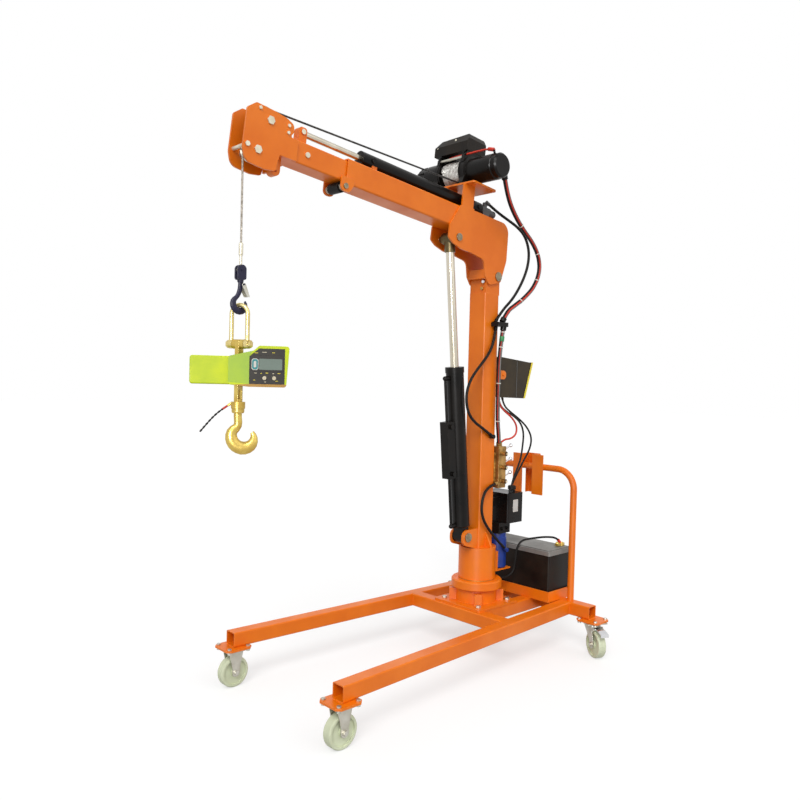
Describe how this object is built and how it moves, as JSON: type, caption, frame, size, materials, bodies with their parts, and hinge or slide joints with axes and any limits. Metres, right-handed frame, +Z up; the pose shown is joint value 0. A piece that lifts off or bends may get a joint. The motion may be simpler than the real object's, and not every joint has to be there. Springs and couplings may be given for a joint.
{
  "type": "mobile floor crane",
  "caption": "Mobile floor crane on a castored frame: slewing mast, hydraulic lift and telescoping boom, electric winch, hanging load scale with hook.",
  "frame": {"origin": "middle of the footprint on the floor, halfway along the length and on the crane's centre plane", "axes": "+Z up, +X forward along the boom, +Y towards the left leg seen from the handle"},
  "size_m": [1.9238, 1.0536, 2.4107],
  "materials": {
    "orange_paint": "semi-gloss",
    "black_paint": "gloss",
    "zinc_steel": "satin",
    "chrome": "polished",
    "bronze": "satin",
    "nylon": "satin",
    "black_plastic": "matte",
    "black_rubber": "matte",
    "blue_paint": "semi-gloss",
    "silver_tank": "semi-gloss",
    "hook_paint": "semi-gloss",
    "gold_paint": "satin",
    "lime_plastic": "semi-gloss",
    "key_plastic": "gloss",
    "white_plastic": "satin",
    "wire_rope": "satin"
  },
  "bodies": {
    "base": {"base_frame": "orange_paint", "castor_mounts": "zinc_steel", "pedestal_hub": "orange_paint", "push_handle": "orange_paint", "handle_guard": "orange_paint", "battery_tray": "orange_paint", "battery": "black_plastic"},
    "front_wheel_left": {"front_wheel_left": "nylon"},
    "front_wheel_right": {"front_wheel_right": "nylon"},
    "rear_fork_left": {"rear_fork_left": "zinc_steel"},
    "rear_fork_right": {"rear_fork_right": "zinc_steel"},
    "rear_wheel_left": {"rear_wheel_left": "nylon"},
    "rear_wheel_right": {"rear_wheel_right": "nylon"},
    "brake_pedal_left": {"brake_pedal_left": "chrome"},
    "brake_pedal_right": {"brake_pedal_right": "chrome"},
    "mast": {"mast": "orange_paint", "mast_fittings": "bronze", "mast_brackets": "black_paint", "pump_unit": "blue_paint", "oil_tank": "silver_tank", "valve_block": "zinc_steel", "control_box": "black_plastic", "luff_hoses": "black_rubber", "mast_hoses": "black_rubber"},
    "valve_lever_1": {"valve_lever_1": "chrome"},
    "valve_lever_2": {"valve_lever_2": "chrome"},
    "valve_lever_3": {"valve_lever_3": "chrome"},
    "lift_barrel": {"lift_barrel": "black_paint", "lift_valve_block": "black_paint"},
    "lift_rod": {"lift_rod": "chrome"},
    "boom": {"outer_boom": "orange_paint", "boom_pins": "zinc_steel", "mouth_wear_pads": "white_plastic", "telescope_barrel": "black_paint", "winch_frame": "black_paint", "winch_gearbox": "black_paint", "winch_motor": "black_paint", "solenoid_box": "black_plastic", "boom_rope": "wire_rope"},
    "boom_roller": {"boom_roller": "zinc_steel"},
    "winch_drum": {"winch_drum": "zinc_steel", "drum_rope": "wire_rope"},
    "clutch_lever": {"clutch_lever": "zinc_steel"},
    "inner_boom": {"inner_boom": "orange_paint", "boom_head": "orange_paint", "tail_wear_pads": "white_plastic", "head_pins": "zinc_steel", "telescope_rod": "zinc_steel", "head_rope": "wire_rope"},
    "upper_sheave": {"upper_sheave": "zinc_steel"},
    "lower_sheave": {"lower_sheave": "zinc_steel"},
    "fall": {"fall_rope": "wire_rope"},
    "winch_hook": {"winch_hook": "hook_paint"},
    "hook_latch": {"hook_latch": "zinc_steel"},
    "load_scale": {"scale_link": "gold_paint", "scale_housing": "lime_plastic", "pigtail_cord": "black_rubber"},
    "scale_button_left": {"scale_button_left": "key_plastic"},
    "scale_button_right": {"scale_button_right": "key_plastic"},
    "load_hook": {"load_hook": "gold_paint"}
  },
  "joints": [
    {"name": "front_wheel_left_spin", "type": "hinge", "parent": "base", "child": "front_wheel_left", "pos_m": [0.59911, 0.3493, 0.0625], "axis": [0, 1, 0], "continuous": true},
    {"name": "front_wheel_right_spin", "type": "hinge", "parent": "base", "child": "front_wheel_right", "pos_m": [0.59911, -0.3493, 0.0625], "axis": [0, 1, 0], "continuous": true},
    {"name": "rear_castor_left_swivel", "type": "hinge", "parent": "base", "child": "rear_fork_left", "pos_m": [-0.87389, 0.415, 0.0625], "axis": [0, 0, 1], "continuous": true},
    {"name": "rear_wheel_left_spin", "type": "hinge", "parent": "rear_fork_left", "child": "rear_wheel_left", "pos_m": [-0.85558, 0.44943, 0.0625], "axis": [-0.8829, 0.4695, 0], "continuous": true},
    {"name": "brake_pedal_left_press", "type": "hinge", "parent": "rear_fork_left", "child": "brake_pedal_left", "pos_m": [-0.85135, 0.45738, 0.135], "axis": [-0.8829, 0.4695, 0], "range_deg": [-8, 0]},
    {"name": "rear_castor_right_swivel", "type": "hinge", "parent": "base", "child": "rear_fork_right", "pos_m": [-0.87389, -0.415, 0.0625], "axis": [0, 0, 1], "continuous": true},
    {"name": "rear_wheel_right_spin", "type": "hinge", "parent": "rear_fork_right", "child": "rear_wheel_right", "pos_m": [-0.85558, -0.44943, 0.0625], "axis": [0.8829, 0.4695, 0], "continuous": true},
    {"name": "brake_pedal_right_press", "type": "hinge", "parent": "rear_fork_right", "child": "brake_pedal_right", "pos_m": [-0.85135, -0.45738, 0.135], "axis": [0.8829, 0.4695, 0], "range_deg": [-8, 0]},
    {"name": "slew", "type": "hinge", "parent": "base", "child": "mast", "pos_m": [-0.51289, 0, 0.4], "axis": [0, 0, 1], "range_deg": [-170, 170]},
    {"name": "valve_lever_1_push", "type": "hinge", "parent": "mast", "child": "valve_lever_1", "pos_m": [-0.62489, 0.028, 0.803], "axis": [0, 1, 0], "range_deg": [-18, 18], "stiffness_Nm_per_rad": 6},
    {"name": "valve_lever_2_push", "type": "hinge", "parent": "mast", "child": "valve_lever_2", "pos_m": [-0.62489, 0.028, 0.869], "axis": [0, 1, 0], "range_deg": [-18, 18], "stiffness_Nm_per_rad": 6},
    {"name": "valve_lever_3_push", "type": "hinge", "parent": "mast", "child": "valve_lever_3", "pos_m": [-0.62489, 0.028, 0.935], "axis": [0, 1, 0], "range_deg": [-18, 18], "stiffness_Nm_per_rad": 6},
    {"name": "luff", "type": "hinge", "parent": "mast", "child": "boom", "pos_m": [-0.54089, 0, 1.77], "axis": [0, -1, 0], "range_deg": [-6, 40], "deforming": ["luff_hoses"]},
    {"name": "lift_extend", "type": "slide", "parent": "lift_barrel", "child": "lift_rod", "axis": [0.0975, 0, 0.9952], "range_m": [-0.0224, 0.138]},
    {"name": "lift_swing", "type": "hinge", "parent": "mast", "child": "lift_barrel", "pos_m": [-0.39489, 0, 0.553], "axis": [0, -1, 0], "range_deg": [-1.49, 7.1]},
    {"name": "clutch_turn", "type": "hinge", "parent": "boom", "child": "clutch_lever", "pos_m": [-0.38594, -0.29, 2.23392], "axis": [0, 1, 0], "range_deg": [-60, 0]},
    {"name": "telescope", "type": "slide", "parent": "boom", "child": "inner_boom", "axis": [0.9943, 0, 0.1063], "range_m": [-0.17, 0.36], "deforming": ["boom_rope"]},
    {"name": "winch_turn", "type": "hinge", "parent": "boom", "child": "winch_drum", "pos_m": [-0.38594, 0, 2.23392], "axis": [0, 1, 0], "range_deg": [-939.7, 238.9]},
    {"name": "mouth_roller_turn", "type": "hinge", "parent": "boom", "child": "boom_roller", "pos_m": [0.39214, 0, 2.01496], "axis": [0, 1, 0], "range_deg": [-465.8, 984.2]},
    {"name": "upper_sheave_turn", "type": "hinge", "parent": "inner_boom", "child": "upper_sheave", "pos_m": [0.73098, 0, 2.18131], "axis": [0, 1, 0], "range_deg": [-247.6, 974]},
    {"name": "lower_sheave_turn", "type": "hinge", "parent": "inner_boom", "child": "lower_sheave", "pos_m": [0.7823, 0, 2.06812], "axis": [0, 1, 0], "range_deg": [-460.4, 1816.4]},
    {"name": "fall_plumb", "type": "hinge", "parent": "inner_boom", "child": "fall", "pos_m": [0.7823, 0, 2.06812], "axis": [0, -1, 0], "range_deg": [-41, 7]},
    {"name": "hoist", "type": "slide", "parent": "fall", "child": "winch_hook", "axis": [0, 0, 1], "range_m": [-0.95, 0.24], "deforming": ["fall_rope"]},
    {"name": "latch_press", "type": "hinge", "parent": "winch_hook", "child": "hook_latch", "pos_m": [0.8063, 0.00021, 1.598], "axis": [0.0349, 0.9994, 0], "range_deg": [-14, 0], "stiffness_Nm_per_rad": 0.05},
    {"name": "scale_swing", "type": "hinge", "parent": "winch_hook", "child": "load_scale", "pos_m": [0.8123, 0, 1.504], "axis": [0.9994, -0.0349, 0], "range_deg": [-6, 6]},
    {"name": "scale_button_left_press", "type": "slide", "parent": "load_scale", "child": "scale_button_left", "axis": [-0.5299, -0.848, 0], "range_m": [0, 0.0015], "stiffness_N_per_m": 400},
    {"name": "scale_button_right_press", "type": "slide", "parent": "load_scale", "child": "scale_button_right", "axis": [-0.5299, -0.848, 0], "range_m": [0, 0.0015], "stiffness_N_per_m": 400},
    {"name": "load_hook_swivel", "type": "hinge", "parent": "load_scale", "child": "load_hook", "pos_m": [0.8123, 0, 1.16], "axis": [0, 0, 1], "continuous": true}
  ],
  "couplings": [
    {"joint": "lift_swing", "follows": "luff", "ratio": 0.165},
    {"joint": "lift_extend", "follows": "luff", "m_per_rad": 0.1948},
    {"joint": "fall_plumb", "follows": "luff", "ratio": -1},
    {"joint": "mouth_roller_turn", "follows": "telescope", "rad_per_m": 47.619},
    {"joint": "winch_turn", "follows": "hoist", "rad_per_m": 17.227},
    {"joint": "upper_sheave_turn", "follows": "hoist", "rad_per_m": -17.857},
    {"joint": "lower_sheave_turn", "follows": "hoist", "rad_per_m": -33.333}
  ]
}
